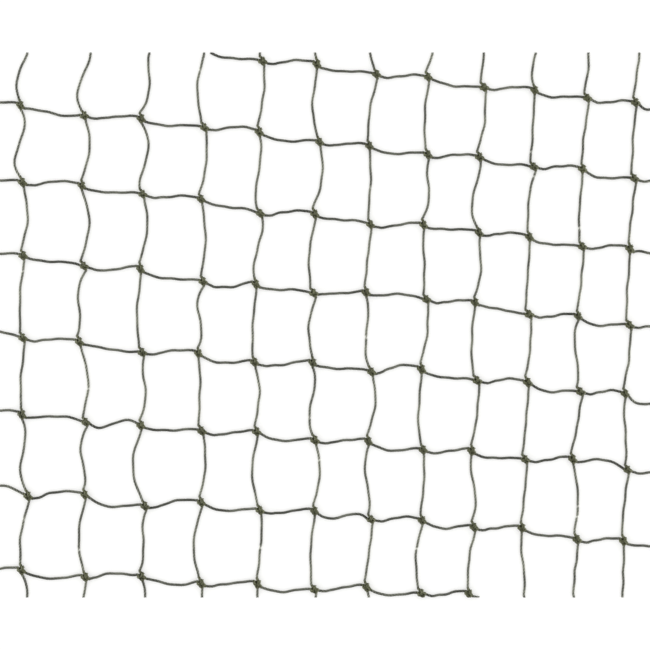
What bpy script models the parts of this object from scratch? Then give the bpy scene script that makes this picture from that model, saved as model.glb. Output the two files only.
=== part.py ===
"""A cut length of knotted balcony safety netting, laid out flat with its face up.

The net is one piece of work. A thin twine is knotted to the row before it at every crossing, so the meshes
are near squares of 30 mm with a knot at each corner. Rows run across and sink a little from left to right,
columns run down, and every other knot sits a little low and to the right, as hand-pulled knots do. The
strands are cut straight along the four edges.

The origin is at the middle of the netting, on the surface it lies on. +X is across the columns, +Y runs up
the net from its lowest row, and +Z is up.
"""

import math
from collections import namedtuple

import bmesh
import bpy
from mathutils import Vector

MM = 0.001

# The cut length, measured from its middle to its edges, in millimetres like every size below.
CUT_X = 147.5
CUT_Y = 122.6

# The twine, lying on its flat side.
TWINE_HEIGHT = 1.15
TWINE_FOOT = 0.58
TWINE_TOP = 0.4
SEGMENT = 5.2
EASE = 0.45
SHORTEST_STUB = 0.8

# A knot: half its length and half its width, and the rings that round it off.
KNOT_REACH = 2.25
KNOT_WAIST = 1.65
KNOT_SHOULDER = 1.25
Level = namedtuple("Level", "height spread")
KNOT_LEVELS = (Level(0.0, 0.9), Level(1.4, 1.0), Level(2.8, 0.55))

# How far a knot leans from upright, and how far it sits from its crossing, as it was pulled.
Pull = namedtuple("Pull", "lean right up")
LOW_PULL = Pull(38.0, 0.4, -0.85)
HIGH_PULL = Pull(22.0, -0.4, 0.85)

# A leg's bow falls away towards its knots by this power. On its way it also sways a little one way before its
# middle and the other way after it: an upright leg right and then left, a cross leg down and then up.
BOW_POWER = 1.3
UPRIGHT_SWAY = 0.4
CROSS_SWAY = -0.75
SWAY_PEAK = 10.4
CUT_STEPS = 200

# Rows from the top down: the height of each at the left and right of the net, its sag or rise midway, how
# far its knots have slid sideways, and how far each leg that runs right from one of its knots bows upward.
ROW_SPAN = 146.25
SLACK = (-0.7,) * 13
Row = namedtuple("Row", "left right sag slide legs")
ROWS = (
    Row(167.0, 133.0, 0.0, 0.0, SLACK),
    Row(133.1, 98.7, 0.5, 0.4, (-0.7, -0.7, -0.7, -0.7, -0.8, 0.5, -1.2, -0.3, -1.9, 0.3, -1.7, -1.0, 0.0)),
    Row(99.4, 66.1, 0.3, 0.0, (0.0, -1.6, -0.2, -1.4, 0.9, -2.2, -0.3, -1.9, 0.1, -1.5, 0.4, -2.4, 0.0)),
    Row(66.5, 32.8, 0.1, -0.2, (-2.1, 0.7, -1.5, -0.2, -0.7, 0.7, -0.5, -0.5, -0.6, 0.5, -1.6, 0.3, -0.9)),
    Row(31.8, 0.0, -0.1, -0.3, (-0.4, -0.6, -1.3, -2.1, -2.3, -0.8, -0.5, 0.4, -0.6, -0.9, -0.5, -2.6, 0.0)),
    Row(-3.6, -32.5, 0.2, -0.5, (0.4, -0.2, -1.4, 0.5, -2.9, -1.3, -1.0, 1.6, -1.7, 0.5, -2.5, 0.3, -3.0)),
    Row(-40.0, -65.2, 1.6, -0.2, (1.1, 0.6, -0.3, -1.4, -1.4, -2.7, -0.5, -2.7, -1.0, -1.8, -0.5, 1.9, 0.0)),
    Row(-74.7, -99.0, 2.3, 0.7, (2.6, 1.1, -3.4, 0.8, -2.5, -0.9, -0.9, 0.5, -2.5, -0.5, -1.4, -0.2, -0.5)),
    Row(-110.0, -126.2, 0.0, 0.0, (-0.4, -2.8, 1.0, -2.5, -0.4, -2.6, -0.3, -2.7) + (-0.7,) * 5),
    Row(-146.0, -161.0, 0.0, 0.0, SLACK),
)

# Columns from left to right: where each stands at the top and the foot of the net, and how far each leg that
# runs down from one of its knots bows to the right. The first and last columns lie past the cut.
COLUMN_SPAN = 122.4
STRAIGHT = (0.0,) * 9
Column = namedtuple("Column", "top foot legs")
COLUMNS = (
    Column(-164.0, -162.5, STRAIGHT),
    Column(-136.8, -135.2, (0.0, -1.8, -1.0, 2.1, -1.2, -0.5, -1.2, -1.5, 0.0)),
    Column(-108.9, -108.3, (0.0, -1.8, 2.9, 2.8, -1.4, 2.5, -1.5, -2.9, -1.5)),
    Column(-82.4, -82.2, (0.0, 2.4, 2.3, 2.5, -1.8, 1.6, -4.6, 0.0, 0.0)),
    Column(-54.9, -56.3, (0.0, -2.7, 1.7, 1.6, -0.7, 0.1, 1.9, -3.3, 0.0)),
    Column(-29.0, -30.8, (0.0, 1.2, -0.5, 0.0, -0.9, 1.8, -2.6, 1.0, -0.5)),
    Column(-3.6, -5.4, (-2.6, -2.4, 2.4, -2.0, -1.9, -0.8, 2.4, -1.5, 0.0)),
    Column(21.2, 19.6, (-2.6, -1.1, 0.3, -0.1, -0.9, 2.4, -1.3, 0.3, 0.6)),
    Column(46.4, 42.8, (2.8, -1.3, 1.5, -0.3, 1.5, -1.6, 0.6, -2.5, 0.0)),
    Column(70.9, 65.0, (0.5, 1.4, -2.5, 1.8, -1.9, 1.3, 0.8, -0.9, 0.0)),
    Column(94.7, 88.0, (-0.2, -0.4, -1.1, -0.4, 1.1, 0.1, 0.7, -0.2, 0.0)),
    Column(117.5, 111.4, (1.1, 0.0, -1.0, 0.7, -1.4, 0.5, 1.6, 0.0, 0.0)),
    Column(140.2, 133.2, (0.6, -0.6, 0.0, -0.7, 0.8, -0.3, -0.5, -0.2, 0.0)),
    Column(162.5, 155.0, STRAIGHT),
)

# Legs that sway unlike the rest of their kind, by the knot that they run down or right from.
Wander = namedtuple("Wander", "row column way sway")
WANDERS = (
    Wander(0, 10, "down", 1.3),
    Wander(1, 1, "down", 1.5),
    Wander(1, 2, "down", 2.2),
    Wander(1, 3, "down", -0.5),
    Wander(1, 8, "right", -0.3),
    Wander(1, 12, "right", -2.0),
    Wander(2, 1, "down", 2.4),
    Wander(2, 1, "right", 0.2),
    Wander(2, 3, "down", 1.6),
    Wander(2, 5, "down", 1.3),
    Wander(2, 8, "down", -0.5),
    Wander(2, 9, "down", 1.4),
    Wander(3, 5, "down", 1.4),
    Wander(3, 8, "down", 0.0),
    Wander(3, 9, "down", -0.2),
    Wander(3, 12, "right", 0.5),
    Wander(4, 2, "down", -0.6),
    Wander(4, 4, "down", -1.3),
    Wander(4, 6, "right", 0.0),
    Wander(4, 7, "down", 1.2),
    Wander(4, 9, "right", -0.1),
    Wander(4, 11, "down", -0.7),
    Wander(5, 2, "right", 0.0),
    Wander(5, 3, "down", -0.5),
    Wander(5, 6, "down", 1.5),
    Wander(5, 12, "down", -0.3),
    Wander(5, 12, "right", -1.4),
    Wander(6, 1, "down", 1.6),
    Wander(6, 2, "down", -0.9),
    Wander(6, 2, "right", -1.8),
    Wander(6, 7, "down", -0.7),
    Wander(6, 9, "down", -0.7),
    Wander(6, 12, "right", -2.2),
    Wander(7, 3, "down", -0.5),
    Wander(7, 6, "right", -1.9),
    Wander(7, 10, "down", -0.3),
    Wander(8, 1, "down", 2.2),
    Wander(8, 2, "right", 0.0),
    Wander(8, 3, "down", 1.5),
    Wander(8, 3, "right", 0.0),
    Wander(8, 7, "down", 1.0),
)

# Knots that were pulled well off their crossing.
Stray = namedtuple("Stray", "row column right up")
STRAYS = (
    Stray(1, 1, 2.6, 0.0),
    Stray(1, 2, 2.7, 0.0),
    Stray(1, 3, 1.6, 0.0),
    Stray(1, 4, 0.0, 1.0),
    Stray(1, 7, 1.1, 0.0),
    Stray(1, 11, 0.0, 0.9),
    Stray(2, 4, 0.3, 0.7),
    Stray(2, 6, 0.9, 0.0),
    Stray(2, 7, -0.7, -0.6),
    Stray(3, 3, 0.0, 0.8),
    Stray(3, 5, 0.0, -1.8),
    Stray(3, 6, 0.0, -0.8),
    Stray(3, 7, -0.6, -1.0),
    Stray(3, 8, -0.4, 0.0),
    Stray(3, 9, 0.0, 1.0),
    Stray(4, 1, 1.0, 0.0),
    Stray(4, 4, 0.4, -1.1),
    Stray(4, 5, -0.7, -1.1),
    Stray(4, 6, -1.0, -0.8),
    Stray(4, 7, -1.4, 0.6),
    Stray(4, 8, 0.6, 1.7),
    Stray(4, 9, 0.0, 1.2),
    Stray(5, 2, -1.1, -0.8),
    Stray(5, 3, 0.0, -1.4),
    Stray(5, 4, -0.4, -0.8),
    Stray(5, 5, -1.7, -0.6),
    Stray(5, 7, 0.6, 0.0),
    Stray(5, 8, 0.0, 1.9),
    Stray(5, 9, 1.0, 0.7),
    Stray(5, 10, 1.3, 0.6),
    Stray(5, 11, 1.1, 0.3),
    Stray(6, 2, 0.5, 0.0),
    Stray(6, 3, 0.0, -1.2),
    Stray(6, 11, -1.0, 0.9),
    Stray(6, 12, 0.9, 0.0),
    Stray(7, 1, 0.7, -0.4),
    Stray(7, 3, 0.0, -1.8),
    Stray(7, 7, -0.4, 0.0),
    Stray(7, 9, 0.0, 0.8),
    Stray(7, 10, -0.6, 1.0),
    Stray(8, 1, -0.9, 0.0),
    Stray(8, 5, 0.8, -0.5),
    Stray(8, 7, -0.6, 0.8),
    Stray(8, 10, 1.8, 0.0),
    Stray(8, 11, 1.3, 0.0),
    Stray(8, 12, 1.3, 0.0),
)

# The sides of a knot's outline that its four legs grow from.
RIGHT_SIDE = 0
UP_SIDE = 3
LEFT_SIDE = 4
DOWN_SIDE = 7

Knot = namedtuple("Knot", "centre along across")
Station = namedtuple("Station", "centre left")


def clear_scene():
    """Remove every object, so that the script starts from an empty scene."""
    for item in list(bpy.data.objects):
        bpy.data.objects.remove(item)


def twine_material():
    """Dull olive green twine."""
    material = bpy.data.materials.new("olive_twine")
    material.use_nodes = True
    shader = material.node_tree.nodes["Principled BSDF"]
    shader.inputs["Base Color"].default_value = (0.075, 0.085, 0.04, 1.0)
    shader.inputs["Roughness"].default_value = 0.7
    shader.inputs["Metallic"].default_value = 0.0
    material.diffuse_color = (0.075, 0.085, 0.04, 1.0)
    return material


def crossing(row, column):
    """The point where a row's line meets a column's line."""
    line = ROWS[row]
    post = COLUMNS[column]
    x = 0.0
    y = 0.0
    for _ in range(4):
        down = (COLUMN_SPAN - y) / (2 * COLUMN_SPAN)
        x = post.top + (post.foot - post.top) * down
        along = (x + ROW_SPAN) / (2 * ROW_SPAN)
        y = line.left + (line.right - line.left) * along + 4 * line.sag * along * (1 - along)
    return Vector((x + line.slide, y, 0.0))


def place_knot(row, column):
    """A knot near its crossing, leaning as it was pulled; no knot reaches past the cut at the foot."""
    pull = HIGH_PULL if (row + column) % 2 else LOW_PULL
    centre = crossing(row, column) + Vector((pull.right, pull.up, 0.0))
    for stray in STRAYS:
        if (stray.row, stray.column) == (row, column):
            centre += Vector((stray.right, stray.up, 0.0))
    if abs(centre.y) < CUT_Y:
        centre.y = max(centre.y, KNOT_REACH - CUT_Y)
    lean = math.radians(pull.lean)
    along = Vector((math.sin(lean), -math.cos(lean), 0.0))
    across = Vector((math.cos(lean), math.sin(lean), 0.0))
    return Knot(centre, along, across)


def is_inside(point):
    """True where a point lies within the cut edges."""
    return abs(point.x) < CUT_X and abs(point.y) < CUT_Y


def outline_points():
    """The knot's outline from its lower end round to the left, as steps along and across the knot."""
    half = KNOT_REACH / 2
    return (
        (KNOT_REACH, 0.0),
        (half, KNOT_SHOULDER),
        (0.0, KNOT_WAIST),
        (-half, KNOT_SHOULDER),
        (-KNOT_REACH, 0.0),
        (-half, -KNOT_SHOULDER),
        (0.0, -KNOT_WAIST),
        (half, -KNOT_SHOULDER),
    )


def side_middle(knot, side):
    """The middle of one side of a knot's outline."""
    points = outline_points()
    here = points[side]
    there = points[(side + 1) % len(points)]
    along = (here[0] + there[0]) / 2
    across = (here[1] + there[1]) / 2
    return knot.centre + knot.along * along + knot.across * across


def build_knot(mesh, knot, open_sides):
    """A rounded lump with a flat foot; the sides that legs grow from are left open."""
    rings = []
    for level in KNOT_LEVELS:
        ring = []
        for along, across in outline_points():
            point = knot.centre + (knot.along * along + knot.across * across) * level.spread
            point.z = level.height
            ring.append(mesh.verts.new(point * MM))
        rings.append(ring)
    count = len(rings[0])
    mesh.faces.new(list(reversed(rings[0])))
    mesh.faces.new(rings[-1])
    for index, (lower, upper) in enumerate(zip(rings, rings[1:])):
        for side in range(count):
            after = (side + 1) % count
            if index > 0 or side not in open_sides:
                mesh.faces.new((lower[side], lower[after], upper[after], upper[side]))
    return rings


def side_corners(rings, side, outward):
    """The corners of a knot's open side, from the foot at the right, seen along the leg's run."""
    after = (side + 1) % len(rings[0])
    right, left = (side, after) if outward else (after, side)
    return [rings[0][right], rings[0][left], rings[1][left], rings[1][right]]


def leg_sway(row, column, way):
    """How far the leg that runs down or right from a knot sways."""
    for wander in WANDERS:
        if (wander.row, wander.column, wander.way) == (row, column, way):
            return wander.sway
    return UPRIGHT_SWAY if way == "down" else CROSS_SWAY


def leg_path(start, end, first, last, bow, sway):
    """A function of 0 to 1 for the middle of a leg, whose bow and sway are measured from knot to knot."""
    heading = (last - first).normalized()
    left = Vector((-heading.y, heading.x, 0.0))
    start_off = (start - first).dot(left)
    end_off = (end - first).dot(left)
    extra_bow = bow - (start_off + end_off) / 2
    extra_sway = sway - (start_off - end_off) / 4

    def at(t):
        s = 1 - t
        off = extra_bow * (4 * s * t) ** BOW_POWER + extra_sway * SWAY_PEAK * s * t * (s - t)
        return start * s + end * t + left * off

    return at


def leg_stations(path, first, last, ease):
    """Stations along a part of a leg's path; with an ease they draw closer towards both its ends."""
    count = max(1, round((path(last) - path(first)).length / SEGMENT))
    stations = []
    for index in range(count + 1):
        share = index / count
        share -= ease * math.sin(2 * math.pi * share) / (2 * math.pi)
        t = first + (last - first) * share
        run = (path(min(1.0, t + 0.01)) - path(max(0.0, t - 0.01))).normalized()
        stations.append(Station(path(t), Vector((-run.y, run.x, 0.0))))
    return stations


def cut_part(path, from_end):
    """Where a leg meets a cut edge, as it runs from its first knot or back from its last one."""
    for index in range(CUT_STEPS + 1):
        t = 1 - index / CUT_STEPS if from_end else index / CUT_STEPS
        if not is_inside(path(t)):
            break
    return t


def square_to_cut(station):
    """A station moved onto the nearest cut edge, with its section along that edge."""
    point = station.centre.copy()
    if CUT_X - abs(point.x) < CUT_Y - abs(point.y):
        point.x = math.copysign(CUT_X, point.x)
        left = Vector((0.0, math.copysign(1.0, station.left.y), 0.0))
    else:
        point.y = math.copysign(CUT_Y, point.y)
        left = Vector((math.copysign(1.0, station.left.x), 0.0, 0.0))
    return Station(point, left)


def section_corners(mesh, station):
    """Four corners of the twine at a station, in the same order as a knot's side."""
    corners = []
    for sideways, height in (
        (-TWINE_FOOT, 0.0),
        (TWINE_FOOT, 0.0),
        (TWINE_TOP, TWINE_HEIGHT),
        (-TWINE_TOP, TWINE_HEIGHT),
    ):
        point = station.centre + station.left * sideways
        point.z = height
        corners.append(mesh.verts.new(point * MM))
    return corners


def loft(mesh, sections):
    """Walls between each section of a leg and the next."""
    for here, there in zip(sections, sections[1:]):
        for index in range(4):
            after = (index + 1) % 4
            mesh.faces.new((here[index], here[after], there[after], there[index]))


def build_leg(mesh, path, start_corners, end_corners):
    """A whole leg between two knots."""
    stations = leg_stations(path, 0.0, 1.0, EASE)[1:-1]
    middle = [section_corners(mesh, station) for station in stations]
    loft(mesh, [start_corners] + middle + [end_corners])


def build_stub(mesh, path, corners, from_end, cut):
    """The part of a leg between a knot and a cut edge, ending in a flat cut."""
    if from_end:
        stations = leg_stations(path, cut, 1.0, 0.0)
        stations[0] = square_to_cut(stations[0])
        sections = [section_corners(mesh, station) for station in stations[:-1]]
        loft(mesh, sections + [corners])
        mesh.faces.new(list(reversed(sections[0])))
    else:
        stations = leg_stations(path, 0.0, cut, 0.0)
        stations[-1] = square_to_cut(stations[-1])
        sections = [section_corners(mesh, station) for station in stations[1:]]
        loft(mesh, [corners] + sections)
        mesh.faces.new(sections[-1])


def plan_legs(knots):
    """Every leg: the knots at its ends, the sides that it grows from, and its path."""
    legs = []
    for (row, column), knot in knots.items():
        for way, place, bows, index, here_side, there_side in (
            ("down", (row + 1, column), COLUMNS[column].legs, row, DOWN_SIDE, UP_SIDE),
            ("right", (row, column + 1), ROWS[row].legs, column, RIGHT_SIDE, LEFT_SIDE),
        ):
            if place not in knots:
                continue
            other = knots[place]
            start = side_middle(knot, here_side)
            end = side_middle(other, there_side)
            sway = leg_sway(row, column, way)
            path = leg_path(start, end, knot.centre, other.centre, bows[index], sway)
            legs.append(((row, column), here_side, place, there_side, path))
    return legs


def build_net():
    """The whole net as one closed body."""
    knots = {}
    for row in range(len(ROWS)):
        for column in range(len(COLUMNS)):
            knots[row, column] = place_knot(row, column)
    tied = {place for place, knot in knots.items() if is_inside(knot.centre)}
    whole = []
    stubs = []
    open_sides = {place: set() for place in tied}
    for here, here_side, there, there_side, path in plan_legs(knots):
        start = path(0.0)
        end = path(1.0)
        cut_after = cut_part(path, False)
        cut_before = cut_part(path, True)
        if here in tied and there in tied and is_inside(path(cut_after)):
            whole.append((path, here, here_side, there, there_side))
            open_sides[here].add(here_side)
            open_sides[there].add(there_side)
            continue
        if here in tied and (path(cut_after) - start).length > SHORTEST_STUB:
            stubs.append((path, here, here_side, False, cut_after))
            open_sides[here].add(here_side)
        if there in tied and (path(cut_before) - end).length > SHORTEST_STUB:
            stubs.append((path, there, there_side, True, cut_before))
            open_sides[there].add(there_side)
    mesh = bmesh.new()
    rings = {}
    for place in sorted(tied):
        rings[place] = build_knot(mesh, knots[place], open_sides[place])
    for path, here, here_side, there, there_side in whole:
        start_corners = side_corners(rings[here], here_side, True)
        end_corners = side_corners(rings[there], there_side, False)
        build_leg(mesh, path, start_corners, end_corners)
    for path, place, side, from_end, cut in stubs:
        corners = side_corners(rings[place], side, not from_end)
        build_stub(mesh, path, corners, from_end, cut)
    bmesh.ops.recalc_face_normals(mesh, faces=mesh.faces)
    data = bpy.data.meshes.new("net")
    mesh.to_mesh(data)
    mesh.free()
    data.shade_smooth()
    return bpy.data.objects.new("net", data)


def main():
    """Build the net in a collection of its own."""
    clear_scene()
    collection = bpy.data.collections.new("balcony_safety_net")
    bpy.context.scene.collection.children.link(collection)
    net = build_net()
    net.data.materials.append(twine_material())
    collection.objects.link(net)


main()
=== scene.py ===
"""Looks of the balcony safety net: three-ply olive twine, wound knots, and the pale table it lies on.

The net is drawn as it is made. Each twine runs in steps, right and up, right and up, and is tied at every
crossing: it is the loop of one knot and the hitch of the next. Its sizes are in millimetres until its mesh
is made.
"""

import math
import random
from collections import namedtuple

import bpy
import numpy as np
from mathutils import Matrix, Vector


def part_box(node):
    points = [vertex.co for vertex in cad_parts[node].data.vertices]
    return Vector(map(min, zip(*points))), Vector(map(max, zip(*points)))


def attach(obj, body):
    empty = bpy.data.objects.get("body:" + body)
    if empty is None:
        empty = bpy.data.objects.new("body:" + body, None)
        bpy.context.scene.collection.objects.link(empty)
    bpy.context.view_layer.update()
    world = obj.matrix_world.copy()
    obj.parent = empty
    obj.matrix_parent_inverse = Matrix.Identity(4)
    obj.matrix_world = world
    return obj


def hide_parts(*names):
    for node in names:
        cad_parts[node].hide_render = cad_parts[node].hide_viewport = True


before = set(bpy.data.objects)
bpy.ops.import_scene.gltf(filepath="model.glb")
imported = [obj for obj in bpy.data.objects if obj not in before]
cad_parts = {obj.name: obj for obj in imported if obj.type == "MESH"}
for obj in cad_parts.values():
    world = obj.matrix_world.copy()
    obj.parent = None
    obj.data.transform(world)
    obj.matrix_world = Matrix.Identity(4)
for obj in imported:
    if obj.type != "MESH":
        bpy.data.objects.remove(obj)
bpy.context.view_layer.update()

MM = 0.001
SEED = 7

# The cut edges and the height of the knots, from the frame.
NET_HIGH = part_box("net")[1]
CUT_X = NET_HIGH[0] / MM
CUT_Y = NET_HIGH[1] / MM
KNOT_TOP = NET_HIGH[2] / MM

# Half a knot's length, and how far the knots lean and sit from their crossing, by turns, as they were
# pulled.
KNOT_REACH = 2.25
Pull = namedtuple("Pull", "lean right up")
LOW_PULL = Pull(40.0, 0.4, -0.85)
HIGH_PULL = Pull(28.0, -0.4, 0.85)

# No two knots are pulled quite alike: how far one may differ from these in its lean, and from the mean in
# its length and width.
LEAN_SPREAD = 10.0
MEAN_LENGTH = 1.03
LENGTH_SPREAD = 0.1
WIDTH_SPREAD = 0.08

# A leg's bow falls away towards its knots by this power. On its way it also sways a little one way before
# its middle and the other way after it: an upright leg right and then left, a cross leg down and then up.
# The last number brings the curve of the sway to 1 at its peak.
BOW_POWER = 1.3
UPRIGHT_SWAY = 0.4
CROSS_SWAY = -0.75
SWAY_PEAK = 10.4

# Rows from the top down: the height of each at the left and right of the net, its sag or rise midway, how
# far its knots have slid sideways, and how far each leg that runs right from one of its knots bows upward.
ROW_SPAN = 146.25
SLACK = (-0.7,) * 13
Row = namedtuple("Row", "left right sag slide legs")
ROWS = (
    Row(167.0, 133.0, 0.0, 0.0, SLACK),
    Row(133.1, 98.7, 0.5, 0.4,
        (-0.7, -0.7, -0.7, -0.7, -1.9, 0.5, -1.2, -0.3, -1.9, 0.3, -1.7, -1.0, 0.0)),
    Row(99.4, 66.1, 0.3, 0.0,
        (0.0, -1.6, -0.2, -1.4, 0.9, -2.2, -0.3, -1.9, 0.1, -1.5, 0.4, -2.4, 0.0)),
    Row(66.5, 32.8, 0.1, -0.2,
        (-2.1, 0.7, -1.5, -0.2, -0.7, 0.7, -0.5, -0.5, -0.6, 0.5, -1.6, 0.3, -0.9)),
    Row(31.8, 0.0, -0.1, -0.3,
        (-0.4, -0.6, -1.3, -2.1, -2.3, -0.8, -0.5, 0.4, -0.6, -0.9, -0.5, -2.6, 0.0)),
    Row(-3.6, -32.5, 0.2, -0.5,
        (0.4, -0.2, -1.4, 0.5, -2.9, -1.3, -1.0, 1.6, -1.7, 0.5, -2.5, 0.3, -3.0)),
    Row(-40.0, -65.2, 1.6, -0.2,
        (1.1, 0.6, -0.3, -1.4, -1.4, -2.7, -0.5, -2.7, -1.0, -1.8, -0.5, 1.9, -1.3)),
    Row(-74.7, -99.0, 2.3, 0.7,
        (2.6, 1.1, -3.4, 0.8, -2.5, -0.9, -0.9, 0.5, -2.5, -0.5, -1.4, -0.2, -0.5)),
    Row(-110.0, -126.2, 0.0, 0.0,
        (-0.4, -2.8, 1.0, -2.5, -0.4, -2.6, -0.3, -2.7, -0.7, -0.7, -0.7, -0.7, -0.7)),
    Row(-146.0, -161.0, 0.0, 0.0, SLACK),
)

# Columns from left to right: where each stands at the top and the foot of the net, and how far each leg
# that runs down from one of its knots bows to the right. The first and last columns lie past the cut.
COLUMN_SPAN = 122.4
STRAIGHT = (0.0,) * 9
Column = namedtuple("Column", "top foot legs")
COLUMNS = (
    Column(-164.0, -162.5, STRAIGHT),
    Column(-136.8, -135.2, (0.0, -1.8, -1.0, 2.1, -1.2, -0.5, -1.2, -1.5, 0.0)),
    Column(-108.9, -108.3, (0.0, -1.8, 2.9, 2.8, -1.4, 2.5, -1.5, -2.9, -1.5)),
    Column(-82.4, -82.2, (0.0, 2.4, 2.3, 2.5, -1.8, 1.6, -4.6, 0.0, 0.0)),
    Column(-54.9, -56.3, (0.0, -2.7, 1.7, 1.6, -0.7, 0.1, 1.9, -3.3, 0.0)),
    Column(-29.0, -30.8, (0.0, 1.2, -0.5, 0.0, -0.9, 1.8, -2.6, 1.0, -0.5)),
    Column(-3.6, -5.4, (-2.6, -2.4, 2.4, -2.0, -1.9, -0.8, 2.4, -1.5, 0.0)),
    Column(21.2, 19.6, (-2.6, -1.1, 0.3, -0.1, -0.9, 2.4, -1.3, 0.3, 0.6)),
    Column(46.4, 42.8, (2.8, -1.3, 1.5, -0.3, 1.5, -1.6, 0.6, -2.5, 0.0)),
    Column(70.9, 65.0, (0.5, 1.4, -2.5, 1.8, -1.9, 1.3, 0.8, -0.9, 0.0)),
    Column(94.7, 88.0, (-0.2, -0.4, -1.1, -0.4, 1.1, 0.1, 0.7, -0.2, 0.0)),
    Column(117.5, 111.4, (1.1, 0.0, -1.0, 0.7, -1.4, 0.5, 1.6, 0.0, 0.0)),
    Column(140.2, 133.2, (0.6, -0.6, 0.0, -0.7, 0.8, -0.3, -0.5, -0.2, 0.0)),
    Column(162.5, 155.0, STRAIGHT),
)

# A row's line and a column's line depend on each other: passes that find where they meet.
MEETING_PASSES = 4

# Legs that sway unlike the rest of their kind, by the knot that they run down or right from.
Wander = namedtuple("Wander", "row column way sway")
WANDERS = (
    Wander(0, 10, "down", 1.3),
    Wander(1, 1, "down", 1.5),
    Wander(1, 2, "down", 2.2),
    Wander(1, 3, "down", -0.5),
    Wander(1, 8, "right", -0.3),
    Wander(1, 12, "right", -2.0),
    Wander(2, 1, "down", 2.4),
    Wander(2, 1, "right", 0.2),
    Wander(2, 3, "down", 1.6),
    Wander(2, 5, "down", 1.3),
    Wander(2, 8, "down", -0.5),
    Wander(2, 9, "down", 1.4),
    Wander(3, 5, "down", 1.4),
    Wander(3, 8, "down", 0.0),
    Wander(3, 9, "down", -0.2),
    Wander(3, 12, "right", 0.5),
    Wander(4, 2, "down", -0.6),
    Wander(4, 4, "down", -1.3),
    Wander(4, 6, "right", 0.0),
    Wander(4, 7, "down", 1.2),
    Wander(4, 9, "right", -0.1),
    Wander(4, 11, "down", -0.7),
    Wander(5, 2, "right", 0.0),
    Wander(5, 3, "down", -0.5),
    Wander(5, 6, "down", 1.5),
    Wander(5, 12, "down", -0.3),
    Wander(5, 12, "right", -1.4),
    Wander(6, 1, "down", 1.6),
    Wander(6, 2, "down", -0.9),
    Wander(6, 2, "right", -1.8),
    Wander(6, 7, "down", -0.7),
    Wander(6, 9, "down", -0.7),
    Wander(6, 12, "right", -0.5),
    Wander(7, 3, "down", -0.5),
    Wander(7, 6, "right", -1.9),
    Wander(7, 10, "down", -0.3),
    Wander(8, 1, "down", 2.2),
    Wander(8, 2, "right", 0.0),
    Wander(8, 3, "down", 1.5),
    Wander(8, 3, "right", 0.0),
    Wander(8, 7, "down", 1.0),
)

# Knots that were pulled well off their crossing.
Stray = namedtuple("Stray", "row column right up")
STRAYS = (
    Stray(1, 1, 2.6, 0.0),
    Stray(1, 2, 2.7, 0.0),
    Stray(1, 3, 1.6, 0.0),
    Stray(1, 4, 0.0, 1.0),
    Stray(1, 7, 1.1, 0.0),
    Stray(1, 11, 0.0, 0.9),
    Stray(2, 4, 0.3, 0.7),
    Stray(2, 6, 0.9, 0.0),
    Stray(2, 7, -0.7, -0.6),
    Stray(3, 3, 0.0, 0.8),
    Stray(3, 5, 0.0, -1.8),
    Stray(3, 6, 0.0, -0.8),
    Stray(3, 7, -0.6, -1.0),
    Stray(3, 8, -0.4, 0.0),
    Stray(3, 9, 0.0, 1.0),
    Stray(4, 1, 1.0, 0.0),
    Stray(4, 4, 0.4, -1.1),
    Stray(4, 5, -0.7, -1.1),
    Stray(4, 6, -1.0, -0.8),
    Stray(4, 7, -1.4, 0.6),
    Stray(4, 8, 0.6, 1.7),
    Stray(4, 9, 0.0, 1.2),
    Stray(5, 2, -1.1, -0.8),
    Stray(5, 3, 0.0, -1.4),
    Stray(5, 4, -0.4, -0.8),
    Stray(5, 5, -1.7, -0.6),
    Stray(5, 7, 0.6, 0.0),
    Stray(5, 8, 0.0, 1.9),
    Stray(5, 9, 1.0, 0.7),
    Stray(5, 10, 1.3, 0.6),
    Stray(5, 11, 1.1, 0.3),
    Stray(6, 2, 0.5, 0.0),
    Stray(6, 3, 0.0, -1.2),
    Stray(6, 11, -1.0, 0.9),
    Stray(6, 12, 0.9, 0.0),
    Stray(7, 1, 0.7, -0.4),
    Stray(7, 3, 0.0, -1.8),
    Stray(7, 7, -0.4, 0.0),
    Stray(7, 9, 0.0, 0.8),
    Stray(7, 10, -0.6, 1.0),
    Stray(8, 1, -0.9, 0.0),
    Stray(8, 5, 0.8, -0.5),
    Stray(8, 7, -0.6, 0.8),
    Stray(8, 10, 1.8, 0.0),
    Stray(8, 11, 1.3, 0.0),
    Stray(8, 12, 1.3, 0.0),
)

# The twine: the plies laid round each other and the length of one turn of them, how much fuller a ply is
# inside a knot, and the steps in which a ply is drawn.
PLY_RADIUS = 0.304
PLIES = 3
LAY = 4.6
KNOT_SWELL = 1.03
LEG_STEP = 0.64
KNOT_STEP = 0.4
FEWEST_STEPS = 4

# A ply's sides on the legs and in the knots, and how far their corners stand out to look as full as a
# round.
LEG_SIDES = 4
LEG_FULLNESS = 1.16
KNOT_SIDES = 6
KNOT_FULLNESS = 1.06

# How knotted a twine is runs from 0 on a leg to 1 in a knot. From the first of these on it is part of the
# knots' piece, and a stretch that reaches the second holds a knot.
DEEP_IN_KNOT = 0.97
HOLDS_KNOT = 0.5

# A leg: the height of its middle, the share of it over which it sinks from a knot, its spans, how near its
# end points come to its knots, and the steps in which each span is smoothed.
LEG_CENTRE = 0.55
RISE_SHARE = 0.06
LEG_SPANS = 12
LEG_END = 0.01
SMOOTH_STEPS = 12

# Every leg has small kinks of its own, as long as a third of it or so. A cross leg also dips as it leaves a
# low knot: by how much, how far along, and over what share of the leg.
KINK = 0.15
KINK_TURNS = (1.4, 2.6)
DIP = 0.45
DIP_MIDDLE = 0.16
DIP_SPREAD = 0.1

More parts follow.
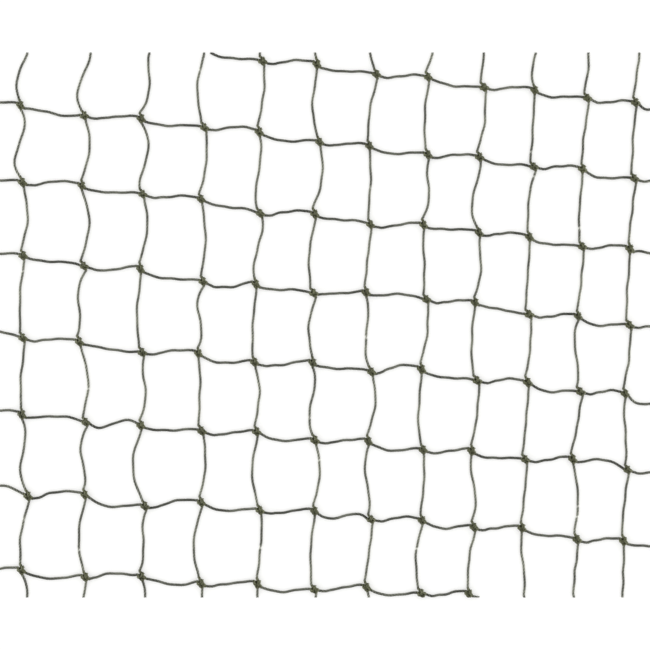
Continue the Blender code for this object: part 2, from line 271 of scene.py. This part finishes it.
# How a twine runs through a knot: steps along and across the knot, and its height.
Turn = namedtuple("Turn", "along across height")
LOOP = (
    Turn(-1.25, -1.2, 0.9),
    Turn(-0.85, -0.85, 1.25),
    Turn(-0.1, -0.8, 1.35),
    Turn(0.75, -1.05, 1.4),
    Turn(1.5, -0.75, 1.6),
    Turn(1.8, -0.05, 1.7),
    Turn(1.45, 0.55, 1.6),
    Turn(0.7, 0.72, 1.4),
    Turn(-0.3, 0.5, 1.35),
    Turn(-1.3, 0.5, 1.25),
    Turn(-2.2, 0.45, 0.9),
)
HITCH = (
    Turn(2.2, -0.8, 0.75),
    Turn(1.5, -0.6, 0.65),
    Turn(0.9, -0.15, 1.2),
    Turn(0.35, 0.3, 2.1),
    Turn(-0.15, 0.9, 1.95),
    Turn(-0.45, 1.2, 1.2),
    Turn(-0.6, 0.6, 0.5),
    Turn(-0.55, -0.8, 0.5),
    Turn(-0.2, -1.45, 1.2),
    Turn(0.15, -1.0, 1.95),
    Turn(0.45, -0.2, 1.75),
    Turn(0.85, 0.45, 1.9),
    Turn(1.45, 0.9, 1.5),
    Turn(2.1, 0.8, 0.85),
)

# Painted glints: pale flecks where the twine catches the light. For each, the knot that the leg runs down
# from, how far down it, half the fleck's length, and how much it hides. The twine is drawn in finer steps
# round a fleck, as far as this many times half its length.
FLECK_STEP = 0.25
FLECK_SURROUND = 2.5
GlintFleck = namedtuple("GlintFleck", "row column share half cover")
GLINT_FLECKS = (
    GlintFleck(1, 4, 0.25, 0.5, 0.7),
    GlintFleck(1, 10, 0.85, 0.5, 0.6),
    GlintFleck(2, 7, 0.54, 0.4, 0.6),
    GlintFleck(2, 10, 0.1, 0.5, 0.8),
    GlintFleck(2, 11, 0.8, 0.6, 1.0),
    GlintFleck(4, 1, 0.15, 0.5, 0.6),
    GlintFleck(4, 7, 0.58, 0.6, 1.0),
    GlintFleck(5, 2, 0.6, 0.6, 0.7),
    GlintFleck(5, 6, 0.75, 0.5, 0.6),
    GlintFleck(6, 6, 0.25, 0.5, 0.7),
    GlintFleck(6, 11, 0.61, 0.6, 0.7),
    GlintFleck(6, 11, 0.76, 0.6, 1.0),
    GlintFleck(7, 1, 0.3, 0.5, 0.6),
    GlintFleck(7, 2, 0.7, 0.5, 0.8),
    GlintFleck(7, 5, 0.52, 0.6, 1.0),
    GlintFleck(7, 8, 0.38, 0.5, 0.9),
)

# Colours of the twine: the legs and the knots, each from its dark fibres to its pale ones, and the painted
# glints.
LEG_DARK = (0.013, 0.0135, 0.0105, 1.0)
LEG_PALE = (0.0745, 0.077, 0.0605, 1.0)
KNOT_DARK = (0.0091, 0.0098, 0.0031, 1.0)
KNOT_PALE = (0.0292, 0.0315, 0.0110, 1.0)
GLINT_COLOUR = (0.17, 0.17, 0.155, 1.0)

# The twine's surface: how rough and how shiny it is, how fine its fibres run along and round a ply, and how
# strong and how deep their relief is.
TWINE_ROUGHNESS = 0.7
TWINE_SPECULAR = 0.2
FIBRE_SCALE = (0.9, 9.0, 1.0)
FIBRE_RELIEF = 0.35
FIBRE_DEPTH = 0.1

# Worn patches: how many there are to a metre, the values of their noise where wear is least and most, and
# how far they shift a leg from its dark colour to its pale one.
PATCH_SCALE = 90.0
PATCH_LOW = 0.41
PATCH_HIGH = 0.59
PATCH_SHIFT = 0.3

# The table: half its side in metres, how far it lies below the net, and its surface.
TABLE_HALF = 1.5
TABLE_DROP = 0.1
TABLE_COLOUR = (0.5, 0.5, 0.495, 1.0)
TABLE_ROUGHNESS = 0.8
TABLE_GLOW = (1.0, 1.0, 0.99, 1.0)
TABLE_GLOW_STRENGTH = 0.41

# Light: the dome's colour and strength, and the softboxes' place, size and power, in metres and watts.
WHITE = (1.0, 1.0, 1.0, 1.0)
WORLD_STRENGTH = 1.28
SOFTBOX_DISTANCE = 1.0
SOFTBOX_LENGTH = 1.4
SOFTBOX_HEIGHT = 0.24
SOFTBOX_LIFT = 0.03
SOFTBOX_POWER = 80.0

# Camera: the lens and sensor, the width of net that fills the view, and the nearest point seen in metres.
CAMERA_LENS = 100.0
SENSOR = 36.0
VIEW_WIDTH = 2 * ROW_SPAN
NEAREST = 0.01

Knot = namedtuple("Knot", "centre along across")
Point = namedtuple("Point", "place knotted")
Ply = namedtuple("Ply", "centres out tilt radius knotted pale marks number")


def crossing(row, column):
    """The point where a row's line meets a column's line."""
    line = ROWS[row]
    post = COLUMNS[column]
    x = 0.0
    y = 0.0
    for _ in range(MEETING_PASSES):
        down = (COLUMN_SPAN - y) / (2 * COLUMN_SPAN)
        x = post.top + (post.foot - post.top) * down
        along = (x + ROW_SPAN) / (2 * ROW_SPAN)
        y = line.left + (line.right - line.left) * along + 4 * line.sag * along * (1 - along)
    return Vector((x + line.slide, y, 0.0))


def place_knot(row, column):
    """A knot near its crossing, leaning as it was pulled; no knot reaches past the cut at the foot."""
    pull = HIGH_PULL if (row + column) % 2 else LOW_PULL
    centre = crossing(row, column) + Vector((pull.right, pull.up, 0.0))
    for stray in STRAYS:
        if (stray.row, stray.column) == (row, column):
            centre += Vector((stray.right, stray.up, 0.0))
    if abs(centre.y) < CUT_Y:
        centre.y = max(centre.y, KNOT_REACH - CUT_Y)
    own = random.Random(SEED + 100 * row + column)
    lean = math.radians(pull.lean + own.uniform(-LEAN_SPREAD, LEAN_SPREAD))
    length = MEAN_LENGTH + own.uniform(-LENGTH_SPREAD, LENGTH_SPREAD)
    width = 1.0 + own.uniform(-WIDTH_SPREAD, WIDTH_SPREAD)
    along = Vector((math.sin(lean), -math.cos(lean), 0.0)) * length
    across = Vector((math.cos(lean), math.sin(lean), 0.0)) * width
    return Knot(centre, along, across)


def knot_point(knot, turn):
    """A turn's place in the net."""
    point = knot.centre + knot.along * turn.along + knot.across * turn.across
    return Vector((point.x, point.y, turn.height))


def past_cut(point):
    """How far a point of the net lies past the nearest cut edge; less than zero inside."""
    return max(abs(point[0]) - CUT_X, abs(point[1]) - CUT_Y)


def leg_sway(row, column, way):
    """How far the leg that runs down or right from a knot sways."""
    for wander in WANDERS:
        if (wander.row, wander.column, wander.way) == (row, column, way):
            return wander.sway
    return UPRIGHT_SWAY if way == "down" else CROSS_SWAY


def leg_path(start, end, first, last, bow, sway):
    """A function of 0 to 1 for the middle of a leg, whose bow and sway are measured from knot to knot."""
    heading = (last - first).normalized()
    left = Vector((-heading.y, heading.x, 0.0))
    start_off = (start - first).dot(left)
    end_off = (end - first).dot(left)
    extra_bow = bow - (start_off + end_off) / 2
    extra_sway = sway - (start_off - end_off) / 4

    def at(t):
        s = 1 - t
        off = extra_bow * (4 * s * t) ** BOW_POWER + extra_sway * SWAY_PEAK * s * t * (s - t)
        return start * s + end * t + left * off

    return at


def kinked(path, dip, chance):
    """A leg's path with small kinks of its own, and a dip near its start."""
    heading = (path(1.0) - path(0.0)).normalized()
    left = Vector((-heading.y, heading.x, 0.0))
    phases = [chance.uniform(0.0, 2 * math.pi) for _ in KINK_TURNS]

    def at(t):
        swing = sum(math.sin(2 * math.pi * turns * t + phase) for turns, phase in zip(KINK_TURNS, phases))
        drop = dip * math.exp(-(((t - DIP_MIDDLE) / DIP_SPREAD) ** 2))
        return path(t) + left * (KINK * 4 * t * (1 - t) * swing - drop)

    return at


def plan_legs(knots, chance):
    """The path of every leg, by the knot it starts from and whether it runs down or right."""
    legs = {}
    for (row, column), knot in knots.items():
        for way, place, bows, index, leave, meet in (
            ("down", (row + 1, column), COLUMNS[column].legs, row, HITCH[0], LOOP[-1]),
            ("right", (row, column + 1), ROWS[row].legs, column, HITCH[-1], LOOP[0]),
        ):
            if place not in knots:
                continue
            other = knots[place]
            start = knot_point(knot, leave)
            end = knot_point(other, meet)
            sway = leg_sway(row, column, way)
            path = leg_path(start, end, knot.centre, other.centre, bows[index], sway)
            is_low = (row + column) % 2 == 0
            legs[row, column, way] = kinked(path, DIP if is_low and way == "right" else 0.0, chance)
    return legs


def leg_points(path, backwards):
    """Points along a leg between its knots; it sinks from them to lie on the table."""
    points = []
    for index in range(LEG_SPANS + 1):
        t = min(1.0 - LEG_END, max(LEG_END, index / LEG_SPANS))
        point = path(t)
        rise = math.exp(-min(t, 1 - t) / RISE_SHARE)
        point.z = LEG_CENTRE + (point.z - LEG_CENTRE) * rise
        points.append(Point(point, 0.0))
    if backwards:
        points.reverse()
    return points


def knot_points(knot, turns):
    """Points along a twine's way through a knot."""
    return [Point(knot_point(knot, turn), 1.0) for turn in turns]


def beyond_cut(knot):
    """A twine's end at a knot that lies past the cut."""
    return Point(Vector((knot.centre.x, knot.centre.y, LEG_CENTRE)), 0.0)


def trace_twine(every, tied, legs, row, column, side):
    """One twine from the left or lower edge to the right or upper one, through every knot that it ties."""
    if side == "left":
        points = [beyond_cut(every[row, column - 1])]
        points += leg_points(legs[row, column - 1, "right"], False)
    else:
        points = [beyond_cut(every[row + 1, column])]
        points += leg_points(legs[row, column, "down"], True)
    while (row, column) in tied:
        if side == "left":
            points += knot_points(every[row, column], LOOP)
            row -= 1
            points += leg_points(legs[row, column, "down"], True)
            side = "below"
        else:
            points += knot_points(every[row, column], HITCH)
            points += leg_points(legs[row, column, "right"], False)
            column += 1
            side = "left"
    points.append(beyond_cut(every[row, column]))
    return points


def smooth(points, per_span):
    """A Catmull-Rom curve through a twine's points, as an array of x, y, z and how knotted it is."""
    rows = np.array([(*point.place, point.knotted) for point in points])
    padded = np.vstack([2 * rows[0] - rows[1], rows, 2 * rows[-1] - rows[-2]])
    before, here, there, after = padded[:-3], padded[1:-2], padded[2:-1], padded[3:]
    curve = []
    for index in range(per_span):
        t = index / per_span
        bend = 2 * before - 5 * here + 4 * there - after
        twist = 3 * here - before - 3 * there + after
        curve.append(here + 0.5 * ((there - before) * t + bend * t * t + twist * t ** 3))
    return np.stack(curve, axis=1).reshape(-1, 4)


def on_cut(inner, outer):
    """The point between two where a twine meets the cut edge."""
    depth = past_cut(inner)
    share = depth / (depth - past_cut(outer))
    return inner + (outer - inner) * share


def clip_runs(curve):
    """The stretches of a twine within the cut that hold a knot, each ended on the cut edge."""
    inside = np.array([past_cut(row) < 0.0 for row in curve])
    edges = np.flatnonzero(np.diff(inside.astype(int)))
    bounds = [0, *(edges + 1), len(curve)]
    runs = []
    for first, last in zip(bounds, bounds[1:]):
        if not inside[first] or curve[first:last, 3].max() < HOLDS_KNOT:
            continue
        stretch = [curve[first:last]]
        if first > 0:
            stretch.insert(0, on_cut(curve[first], curve[first - 1])[None, :])
        if last < len(curve):
            stretch.append(on_cut(curve[last - 1], curve[last])[None, :])
        runs.append(np.concatenate(stretch))
    return runs


def resample(curve, flecks):
    """Even steps along a twine, shorter where it is knotted or flecked.

    Returns its points and their marks, which are how far along it they lie.
    """
    steps = np.linalg.norm(np.diff(curve[:, :3], axis=0), axis=1)
    length = np.concatenate([[0.0], np.cumsum(steps)])
    pace = LEG_STEP + (KNOT_STEP - LEG_STEP) * np.clip(curve[:, 3], 0.0, 1.0)
    for place, half, _ in flecks:
        distance = np.linalg.norm(curve[:, :2] - place, axis=1)
        pace[distance < FLECK_SURROUND * half] = FLECK_STEP
    mean_pace = 0.5 * (pace[1:] + pace[:-1])
    count = np.concatenate([[0.0], np.cumsum(steps / mean_pace)])
    total = max(FEWEST_STEPS, int(round(count[-1])))
    marks = np.interp(np.linspace(0.0, count[-1], total + 1), count, length)
    columns = [np.interp(marks, length, curve[:, axis]) for axis in range(4)]
    return np.stack(columns, axis=1), marks


def carried_frames(places):
    """The twine's direction at every step, and two directions across it, carried along without twist."""
    run = np.gradient(places, axis=0)
    run /= np.linalg.norm(run, axis=1)[:, None]
    side = np.cross(run[0], (0.0, 0.0, 1.0))
    side /= np.linalg.norm(side)
    sides = []
    for direction in run:
        side = side - direction * side.dot(direction)
        side /= np.linalg.norm(side)
        sides.append(side)
    sides = np.array(sides)
    return run, sides, np.cross(run, sides)


def lay_plies(curve, start_angle, flecks):
    """The plies of one stretch of twine, wound round each other."""
    rows, marks = resample(curve, flecks)
    places = rows[:, :3]
    knotted = np.clip(rows[:, 3], 0.0, 1.0)
    pale = paleness(places, flecks)
    run, side, up = carried_frames(places)
    radius = PLY_RADIUS * (1 + (KNOT_SWELL - 1) * knotted)
    # Three round plies that touch each other lie this far from the middle of the twine.
    reach = radius * 2 / math.sqrt(3)
    pitch = 2 * math.pi * reach / LAY
    for number in range(PLIES):
        turn = start_angle + 2 * math.pi * (marks / LAY + number / PLIES)
        out = np.cos(turn)[:, None] * side + np.sin(turn)[:, None] * up
        round_it = -np.sin(turn)[:, None] * side + np.cos(turn)[:, None] * up
        tilt = round_it - run * pitch[:, None]
        tilt /= np.linalg.norm(tilt, axis=1)[:, None]
        yield Ply(places + out * reach[:, None], out, tilt, radius, knotted, pale, marks, number)


def paleness(places, flecks):
    """How much of each step of a twine is covered by a painted glint, a pale fleck where it catches the
    light.
    """
    pale = np.zeros(len(places))
    for place, half, cover in flecks:
        distance = np.linalg.norm(places[:, :2] - place, axis=1)
        pale = np.maximum(pale, cover * np.exp(-((distance / half) ** 2)))
    return pale


def parts_of(ply):
    """A ply's parts on the legs and in the knots, by turns; each ends on the ring where the next starts."""
    in_knot = ply.knotted > DEEP_IN_KNOT
    changes = np.flatnonzero(np.diff(in_knot.astype(int)))
    bounds = [0, *(changes + 1), len(in_knot) - 1]
    for first, last in zip(bounds, bounds[1:]):
        if last > first:
            columns = [column[first:last + 1] for column in ply[:-1]]
            yield in_knot[first], Ply(*columns, ply.number)


class PlyMesh:
    """Gathers parts of plies into one mesh."""

    def __init__(self, sides, fullness):
        self.sides = sides
        self.fullness = fullness
        self.points = []
        self.quads = []
        self.caps = []
        self.knotted = []
        self.pale = []
        self.uvs = []
        self.count = 0

    def rings(self, ply):
        """A ply's corners at each step, kept within the cut, above the table and below the knots' top."""
        angles = 2 * math.pi * (np.arange(self.sides) + 0.5) / self.sides
        wide = np.cos(angles)[None, :, None] * ply.out[:, None, :]
        high = np.sin(angles)[None, :, None] * ply.tilt[:, None, :]
        corners = ply.centres[:, None, :] + (wide + high) * (ply.radius * self.fullness)[:, None, None]
        return np.clip(corners, (-CUT_X, -CUT_Y, 0.0), (CUT_X, CUT_Y, KNOT_TOP)).reshape(-1, 3)

    def skin(self, steps):
        """The faces between the rings of the ply that is added next."""
        sides = np.arange(self.sides)
        base = self.count + np.arange(steps - 1)[:, None] * self.sides
        here = base + sides
        after = base + (sides + 1) % self.sides
        return np.stack([here, after, after + self.sides, here + self.sides], axis=-1).reshape(-1, 4)

    def lengthwise(self, ply):
        """For each corner of each face, how far along the twine it lies, and how far round the ply."""
        around = np.arange(self.sides + 1) / self.sides + ply.number
        shape = (len(ply.marks) - 1, self.sides)
        low_v = np.broadcast_to(around[:-1], shape)
        high_v = np.broadcast_to(around[1:], shape)
        low_u = np.broadcast_to(ply.marks[:-1, None], shape)
        high_u = np.broadcast_to(ply.marks[1:, None], shape)
        uv = np.stack([low_u, low_v, low_u, high_v, high_u, high_v, high_u, low_v], axis=-1)
        return uv.reshape(-1, 2)

    def add(self, ply):
        """A closed tube along one part of a ply."""
        steps = len(ply.centres)
        self.points.append(self.rings(ply))
        self.quads.append(self.skin(steps))
        self.uvs.append(self.lengthwise(ply))
        last = self.count + (steps - 1) * self.sides
        self.caps.append(tuple(range(self.count + self.sides - 1, self.count - 1, -1)))
        self.caps.append(tuple(range(last, last + self.sides)))
        self.knotted.append(np.repeat(ply.knotted, self.sides))
        self.pale.append(np.repeat(ply.pale, self.sides))
        self.count += steps * self.sides

    def build(self, name):
        """The piece, with its knottedness, flecks and lengthwise coordinates kept for the material."""
        points = np.concatenate(self.points) * MM
        quads = np.concatenate(self.quads)
        faces = quads.tolist() + self.caps
        mesh = bpy.data.meshes.new(name)
        mesh.from_pydata(points.tolist(), [], faces)
        layer = mesh.uv_layers.new(name="along_twine")
        flat = np.concatenate([np.concatenate(self.uvs), np.zeros((len(self.caps) * self.sides, 2))])
        layer.data.foreach_set("uv", flat.astype(np.float32).ravel())
        for label, parts in (("knotted", self.knotted), ("pale", self.pale)):
            attribute = mesh.attributes.new(label, "FLOAT", "POINT")
            attribute.data.foreach_set("value", np.concatenate(parts).astype(np.float32))
        mesh.shade_smooth()
        piece = bpy.data.objects.new(name, mesh)
        bpy.context.scene.collection.objects.link(piece)
        return piece


def build_netting():
    """Every twine of the net: its legs in one piece, and its knots in another."""
    chance = random.Random(SEED)
    every = {}
    for row in range(len(ROWS)):
        for column in range(len(COLUMNS)):
            every[row, column] = place_knot(row, column)
    tied = {place for place, knot in every.items() if past_cut(knot.centre) < 0.0}
    legs = plan_legs(every, chance)
    flecks = []
    for fleck in GLINT_FLECKS:
        place = legs[fleck.row, fleck.column, "down"](fleck.share)
        flecks.append((np.array(place.xy), fleck.half, fleck.cover))
    starts = []
    for row, column in sorted(tied):
        if (row, column - 1) not in tied:
            starts.append((row, column, "left"))
        if (row + 1, column) not in tied:
            starts.append((row, column, "below"))
    legs_mesh = PlyMesh(LEG_SIDES, LEG_FULLNESS)
    knots_mesh = PlyMesh(KNOT_SIDES, KNOT_FULLNESS)
    for row, column, side in starts:
        curve = smooth(trace_twine(every, tied, legs, row, column, side), SMOOTH_STEPS)
        for stretch in clip_runs(curve):
            for ply in lay_plies(stretch, chance.uniform(0.0, 2 * math.pi), flecks):
                for in_knot, part in parts_of(ply):
                    (knots_mesh if in_knot else legs_mesh).add(part)
    return legs_mesh.build("netting"), knots_mesh.build("knots")


def node(tree, kind, place, inputs=None, **settings):
    """A shader node at a place in its tree, with its inputs and its settings."""
    made = tree.nodes.new(kind)
    made.location = place
    for name, value in settings.items():
        setattr(made, name, value)
    for name, value in (inputs or {}).items():
        made.inputs[name].default_value = value
    return made


def mix(tree, place, dark=WHITE, pale=WHITE):
    """A node that mixes two colours."""
    return node(tree, "ShaderNodeMixRGB", place, {"Color1": dark, "Color2": pale})


def fibre_noise(tree):
    """Fine fibres that run along each ply."""
    along = node(tree, "ShaderNodeUVMap", (-900, 0), uv_map="along_twine")
    scale = node(tree, "ShaderNodeMapping", (-700, 0), {"Scale": FIBRE_SCALE})
    fibre = node(tree, "ShaderNodeTexNoise", (-500, 0), {"Scale": 1.0, "Detail": 3.0})
    tree.links.new(along.outputs["UV"], scale.inputs["Vector"])
    tree.links.new(scale.outputs["Vector"], fibre.inputs["Vector"])
    return fibre


def patch_noise(tree):
    """Soft patches, some millimetres long, where the twine is more or less worn."""
    place = node(tree, "ShaderNodeTexCoord", (-900, -300))
    inputs = {"Scale": PATCH_SCALE, "Detail": 4.0, "Roughness": 0.7}
    patch = node(tree, "ShaderNodeTexNoise", (-500, -300), inputs)
    tree.links.new(place.outputs["Object"], patch.inputs["Vector"])
    return patch


def leg_colour(tree, fibre, patch):
    """Grey olive legs, paler on their fibres and where they are worn."""
    inputs = {"From Min": PATCH_LOW, "From Max": PATCH_HIGH, "To Min": -PATCH_SHIFT, "To Max": PATCH_SHIFT}
    patchy = node(tree, "ShaderNodeMapRange", (-350, -300), inputs)
    wear = node(tree, "ShaderNodeMath", (-350, -100), operation="ADD", use_clamp=True)
    colour = mix(tree, (-200, 0), LEG_DARK, LEG_PALE)
    tree.links.new(patch.outputs["Fac"], patchy.inputs["Value"])
    tree.links.new(fibre.outputs["Fac"], wear.inputs[0])
    tree.links.new(patchy.outputs["Result"], wear.inputs[1])
    tree.links.new(wear.outputs["Value"], colour.inputs["Fac"])
    return colour


def knot_colour(tree, patch):
    """Darker, greener knots."""
    colour = mix(tree, (-200, -250), KNOT_DARK, KNOT_PALE)
    tree.links.new(patch.outputs["Fac"], colour.inputs["Fac"])
    return colour


def twine_material():
    """Dull olive twine with fine fibres and painted glints, greyer on the legs and greener in the knots."""
    material = bpy.data.materials.new("olive_twine")
    material.use_nodes = True
    tree = material.node_tree
    tree.nodes.clear()
    link = tree.links.new
    fibre = fibre_noise(tree)
    patch = patch_noise(tree)

    knotted = node(tree, "ShaderNodeAttribute", (-200, -500), attribute_name="knotted")
    colour = mix(tree, (100, 0))
    link(knotted.outputs["Fac"], colour.inputs["Fac"])
    link(leg_colour(tree, fibre, patch).outputs["Color"], colour.inputs["Color1"])
    link(knot_colour(tree, patch).outputs["Color"], colour.inputs["Color2"])

    # Painted glints: pale flecks mixed into the twine's colour where it would catch the light.
    pale = node(tree, "ShaderNodeAttribute", (100, -250), attribute_name="pale")
    flecked = mix(tree, (350, 0), pale=GLINT_COLOUR)
    link(pale.outputs["Fac"], flecked.inputs["Fac"])
    link(colour.outputs["Color"], flecked.inputs["Color1"])

    relief = {"Strength": FIBRE_RELIEF, "Distance": FIBRE_DEPTH * MM}
    bump = node(tree, "ShaderNodeBump", (300, -300), relief)
    link(fibre.outputs["Fac"], bump.inputs["Height"])

    surface = {"Roughness": TWINE_ROUGHNESS, "Specular IOR Level": TWINE_SPECULAR}
    shader = node(tree, "ShaderNodeBsdfPrincipled", (600, 0), surface)
    link(flecked.outputs["Color"], shader.inputs["Base Color"])
    link(bump.outputs["Normal"], shader.inputs["Normal"])
    out = node(tree, "ShaderNodeOutputMaterial", (900, 0))
    link(shader.outputs["BSDF"], out.inputs["Surface"])
    return material


def floor_material():
    """A plain white table top, lit a little from inside so that no shadow greys it beside a knot."""
    material = bpy.data.materials.new("white_table")
    material.use_nodes = True
    shader = material.node_tree.nodes["Principled BSDF"]
    shader.inputs["Base Color"].default_value = TABLE_COLOUR
    shader.inputs["Roughness"].default_value = TABLE_ROUGHNESS
    shader.inputs["Emission Color"].default_value = TABLE_GLOW
    shader.inputs["Emission Strength"].default_value = TABLE_GLOW_STRENGTH
    return material


def add_floor():
    """The pale table under the net."""
    mesh = bpy.data.meshes.new("table")
    corners = [(x * TABLE_HALF, y * TABLE_HALF, 0.0) for x, y in ((-1, -1), (1, -1), (1, 1), (-1, 1))]
    mesh.from_pydata(corners, [], [(0, 1, 2, 3)])
    floor = bpy.data.objects.new("table", mesh)
    floor.location.z = -TABLE_DROP * MM
    bpy.context.scene.collection.objects.link(floor)
    mesh.materials.append(floor_material())


def add_side_light(name, side, lit):
    """A long low softbox at one side of the net, which lights the twine that runs up it more than the rest.

    It lights only the collection given, so that the twine casts no long shadows on the table.
    """
    data = bpy.data.lights.new(name, "AREA")
    data.shape = "RECTANGLE"
    data.size = SOFTBOX_LENGTH
    data.size_y = SOFTBOX_HEIGHT
    data.energy = SOFTBOX_POWER
    light = bpy.data.objects.new(name, data)
    light.location = (side * SOFTBOX_DISTANCE, 0.0, SOFTBOX_HEIGHT / 2 + SOFTBOX_LIFT)
    light.rotation_euler = (math.radians(90.0), 0.0, math.radians(side * 90.0))
    light.light_linking.receiver_collection = lit
    bpy.context.scene.collection.objects.link(light)


def add_world():
    """Even white light all round."""
    world = bpy.data.worlds.new("studio")
    world.use_nodes = True
    background = world.node_tree.nodes["Background"]
    background.inputs["Color"].default_value = WHITE
    background.inputs["Strength"].default_value = WORLD_STRENGTH
    bpy.context.scene.world = world


def add_camera():
    """A long lens straight above the net, framed on its width."""
    data = bpy.data.cameras.new("camera")
    data.lens = CAMERA_LENS
    data.sensor_width = SENSOR
    data.clip_start = NEAREST
    camera = bpy.data.objects.new("camera", data)
    height = VIEW_WIDTH * MM * CAMERA_LENS / SENSOR
    camera.location = (0.0, 0.0, height + LEG_CENTRE * MM)
    bpy.context.scene.collection.objects.link(camera)
    bpy.context.scene.camera = camera


def main():
    """Dress the frame and set the stage."""
    netting, knots = build_netting()
    twine = twine_material()
    lit = bpy.data.collections.new("lit_from_the_sides")
    for piece in (netting, knots):
        piece.data.materials.append(twine)
        lit.objects.link(piece)
        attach(piece, "root")
        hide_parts("net")
    add_floor()
    add_world()
    add_side_light("left", -1, lit)
    add_side_light("right", 1, lit)
    add_camera()
    bpy.context.scene.view_settings.view_transform = "Standard"


main()
